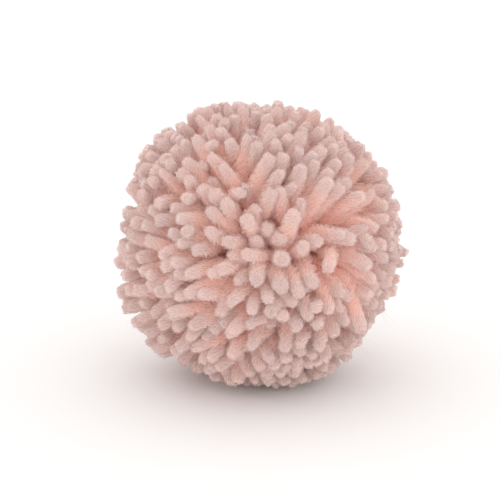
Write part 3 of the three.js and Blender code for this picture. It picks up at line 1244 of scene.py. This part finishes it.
@dataclass
class Fuzz:
    """The fine hairs that stand off the strands."""

    strands: bpy.types.Object
    kind: HairKind
    seed: int
    name: str
    twist: float = 0.36
    root_depth: float = 0.1
    taper: float = 0.7
    sizes: tuple[float, float] = (0.6, 1.35)
    lifts: tuple[float, float] = (-0.2, 2.2)

    def hair(self, nodes: Generator, shape: HairShape) -> Socket:
        """Add the nodes that make one tapered, bent hair, along Z and lifting towards X.

        Args:
            nodes: The tree.
            shape: The hair's bend.

        Returns:
            The hair as an instance.
        """
        bend = {
            "Resolution": self.kind.spans,
            "Start": (0, 0, -self.root_depth * MM),
            "Middle": (shape.middle_lift * MM, 0, shape.length * 0.5 * MM),
            "End": (shape.end_lift * MM, 0, shape.length * MM),
        }
        path = nodes.add("GeometryNodeCurveQuadraticBezier", bend).outputs["Curve"]
        place = nodes.add("GeometryNodeSplineParameter").outputs["Factor"]
        taper = nodes.maths("POWER", nodes.maths("SUBTRACT", 1.0, place), self.taper)
        triangle = {"Resolution": 3, "Radius": self.kind.root_half * MM}
        section = nodes.add("GeometryNodeCurvePrimitiveCircle", triangle).outputs["Curve"]
        swept = {"Geometry": nodes.sweep(path, section, taper), "Distance": 1e-6}
        merged = nodes.add("GeometryNodeMergeByDistance", swept).outputs["Geometry"]
        return nodes.add("GeometryNodeGeometryToInstance", {"Geometry": nodes.smooth(merged)}).outputs[0]

    def density(self, nodes: Generator) -> Socket:
        """Find how many hairs grow at each place: none deep down, past their reach or in another batch.

        Args:
            nodes: The tree.

        Returns:
            The density in hairs on a square metre.
        """
        given = nodes.given
        along = nodes.named("from_tip")
        out = nodes.from_middle(nodes.add("GeometryNodeInputPosition").outputs[0])
        is_outer = nodes.remap(out, (self.kind.least_out - 2) * MM, (self.kind.least_out + 3) * MM)
        fades = nodes.remap(along, self.kind.far, self.kind.far * 0.6)
        starts = nodes.maths("GREATER_THAN", along, self.kind.near)
        own = nodes.maths("MODULO", nodes.plus(nodes.named("batch"), 0.5), given["Batches"])
        is_own = nodes.maths("COMPARE", nodes.maths("FLOOR", own), given["Batch"], 0.1)
        factor = nodes.times(nodes.times(nodes.times(is_outer, fades), starts), is_own)
        return nodes.times(nodes.times(given["Density"], 10000.0), factor)

    def generator(self, batch: int, material: bpy.types.Material) -> Generator:
        """Make the tree that scatters hairs over the strands.

        Args:
            batch: The number of the batch of hairs.
            material: The hairs' material.

        Returns:
            The tree.
        """
        values = {
            "Density": self.kind.density,
            "Batch": float(batch),
            "Batches": float(self.kind.batches),
            "Seed": self.seed + batch,
            "Lift": self.kind.lift,
            "Stray": self.kind.stray,
            "Twist": self.twist,
            "Material": material,
        }
        nodes = Generator("scatter_" + self.kind.name, values)
        given = nodes.given
        sowing = {"Mesh": given["Geometry"], "Density": self.density(nodes), "Seed": given["Seed"]}
        spread = nodes.add("GeometryNodeDistributePointsOnFaces", sowing)
        wild = nodes.add("FunctionNodeRandomValue", {"Seed": 3}, data_type="FLOAT_VECTOR")
        wild.inputs["Min"].default_value = (-1, -1, -1)
        wild.inputs["Max"].default_value = (1, 1, 1)
        normal = spread.outputs["Normal"]
        flow = nodes.named("flow", "FLOAT_VECTOR")
        lift = nodes.times(nodes.random(5, *self.lifts), given["Lift"])
        lifted = nodes.vector("SCALE", normal, lift)
        strayed = nodes.vector("SCALE", wild.outputs["Value"], given["Stray"])
        winding = nodes.vector("SCALE", nodes.vector("CROSS_PRODUCT", flow, normal), given["Twist"])
        way = nodes.vector("ADD", nodes.vector("ADD", nodes.vector("ADD", flow, winding), lifted), strayed)
        side = nodes.vector("ADD", normal, nodes.vector("SCALE", wild.outputs["Value"], 0.5))
        axes = {0: nodes.vector("NORMALIZE", way), 1: side}
        turned = nodes.add("FunctionNodeAxesToRotation", axes, primary_axis="Z", secondary_axis="X")
        hairs = nodes.add("GeometryNodeJoinGeometry")
        for shape in reversed(self.kind.shapes):
            nodes.set(hairs.inputs[0], self.hair(nodes, shape))
        planting = {
            "Points": nodes.store(spread.outputs["Points"], "shade", nodes.random(9, 0.0, 1.0)),
            "Instance": hairs.outputs["Geometry"],
            "Pick Instance": True,
            "Rotation": turned.outputs[0],
            "Scale": nodes.random(7, *self.sizes),
        }
        nodes.finish(nodes.add("GeometryNodeInstanceOnPoints", planting).outputs["Instances"])
        return nodes

    def build(self, material: bpy.types.Material) -> list[bpy.types.Object]:
        """Grow the hairs.

        Args:
            material: The hairs' material.

        Returns:
            The hairs, one piece for each batch.
        """
        pieces: list[bpy.types.Object] = []
        for batch in range(self.kind.batches):
            host = show("hair_host", self.strands.data.copy())
            pieces.append(self.generator(batch, material).run(host, self.name + chr(ord("a") + batch)))
        return pieces


@dataclass(frozen=True)
class Lamp:
    """A large square lamp: its name, place and side in metres, and its power in watts."""

    name: str
    place: tuple[float, float, float]
    size: float
    power: float

    def hang(self) -> None:
        """Hang the lamp so that it shines at the ball."""
        light = bpy.data.lights.new(self.name, "AREA")
        light.shape = "SQUARE"
        light.size = self.size
        light.energy = self.power
        lamp = bpy.data.objects.new(self.name, light)
        lamp.location = self.place
        aim = Vector((0, 0, MIDDLE_HEIGHT * MM)) - Vector(self.place)
        lamp.rotation_euler = aim.to_track_quat("-Z", "Y").to_euler()
        bpy.context.scene.collection.objects.link(lamp)


@dataclass
class Studio:
    """The plain pale floor, the soft light and the camera.

    The floor's side is in metres. The frame's width and how far the ball's middle is off its middle are in
    millimetres, and the elevation is in degrees.
    """

    floor_side: float = 6.0
    floor_greys: tuple[float, float] = (0.95, 0.97)
    lamps: tuple[Lamp, ...] = (
        Lamp("right", (0.4, -0.8, 0.4), 0.8, 0.25),
        Lamp("low", (-0.25, -0.85, 0.12), 0.6, 0.2),
    )
    world_colour: tuple[float, float, float, float] = (1.0, 0.985, 0.97, 1)
    world_strength: float = 1.13
    lens: float = 100.0
    elevation: float = 15.0
    frame_width: float = 155.2
    right_of_middle: float = 3.4
    above_middle: float = 1.9

    def floor(self) -> None:
        """Lay the floor."""
        half = self.floor_side / 2
        mesh = bpy.data.meshes.new("floor")
        corners = [(-half, -half, 0), (half, -half, 0), (half, half, 0), (-half, half, 0)]
        mesh.from_pydata(corners, [], [(0, 1, 2, 3)])
        material = bpy.data.materials.new("pale_floor")
        material.use_nodes = True
        nodes = NodeBuilder(material.node_tree)
        shader = material.node_tree.nodes["Principled BSDF"]
        place = nodes.add("ShaderNodeTexCoord").outputs["Object"]
        grey = nodes.remap(nodes.noise(place, 3.0, 2.0), 0.0, 1.0, *self.floor_greys)
        nodes.set(shader.inputs["Base Color"], grey)
        shader.inputs["Roughness"].default_value = 0.9
        shader.inputs["Specular IOR Level"].default_value = 0.1
        mesh.materials.append(material)
        floor = show("floor", mesh)

    def light(self) -> None:
        """Light the scene from the front and all round."""
        for lamp in self.lamps:
            lamp.hang()
        world = bpy.data.worlds.new("studio")
        world.use_nodes = True
        background = world.node_tree.nodes["Background"].inputs
        background["Color"].default_value = self.world_colour
        background["Strength"].default_value = self.world_strength
        bpy.context.scene.world = world
        bpy.context.scene.view_settings.view_transform = "Standard"

    def camera(self) -> None:
        """Set the camera at the photo's angle."""
        lens = bpy.data.cameras.new("camera")
        lens.lens = self.lens
        camera = bpy.data.objects.new("camera", lens)
        tilt = math.radians(self.elevation)
        back = Vector((0, -math.cos(tilt), math.sin(tilt)))
        right = Vector((1, 0, 0))
        up = right.cross(-back)
        distance = self.frame_width * MM * self.lens / lens.sensor_width
        middle = Vector((0, 0, MIDDLE_HEIGHT * MM))
        aim = middle - right * self.right_of_middle * MM - up * self.above_middle * MM
        camera.location = aim + back * distance
        camera.rotation_euler = (-back).to_track_quat("-Z", "Y").to_euler()
        bpy.context.scene.collection.objects.link(camera)
        bpy.context.scene.camera = camera

    def set_up(self) -> None:
        """Set up the whole studio."""
        self.floor()
        self.light()
        self.camera()


def declare(piece: bpy.types.Object) -> None:
    """Tie a piece to the frame, and report it."""
    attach(piece, "root")
    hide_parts("pom_pom")
    triangles = sum(len(face.vertices) - 2 for face in piece.data.polygons)
    LOG.info("%s: %d triangles", piece.name, triangles)


def add_halos(paths: StrandPaths, group: ToneGroup) -> None:
    """Wrap the strands in their halos, which neither darken nor tint what lies below them.

    Args:
        paths: The settled strands.
        group: The yarn's tones.
    """
    for number, halo in enumerate(HALOS, 1):
        name = f"halo_{number}"
        finish = YarnFinish(name, group, relief=0.0, thinness=halo.thinness).material()
        shells = Strands(paths, name, halo.puff, halo.between, rings=7, sides=10, halves=1)
        for piece in shells.build(finish):
            piece.visible_shadow = False
            piece.visible_diffuse = False
            declare(piece)


def add_hairs(strands: list[bpy.types.Object], group: ToneGroup) -> None:
    """Grow every kind of hair on the strands.

    Args:
        strands: The strands' pieces.
        group: The yarn's tones.
    """
    finish = YarnFinish("hair", group, hair_contrast=0.06, relief=0.0).material()
    for number, kind in enumerate(HAIRS):
        for half, host in enumerate(strands):
            fuzz = Fuzz(host, kind, 100 * number + 10 * half, f"{kind.name}_{half + 1}")
            for piece in fuzz.build(finish):
                declare(piece)


def main() -> None:
    """Build the pom pom and its studio."""
    logging.basicConfig(level=logging.INFO, format="%(message)s")
    Studio().set_up()
    group = ToneGroup()
    paths = Coat().grow()
    strands = Strands(paths).build(YarnFinish("yarn", group).material())
    for piece in strands:
        declare(piece)
    add_halos(paths, group)
    add_hairs(strands, group)


if __name__ == "__main__":
    main()
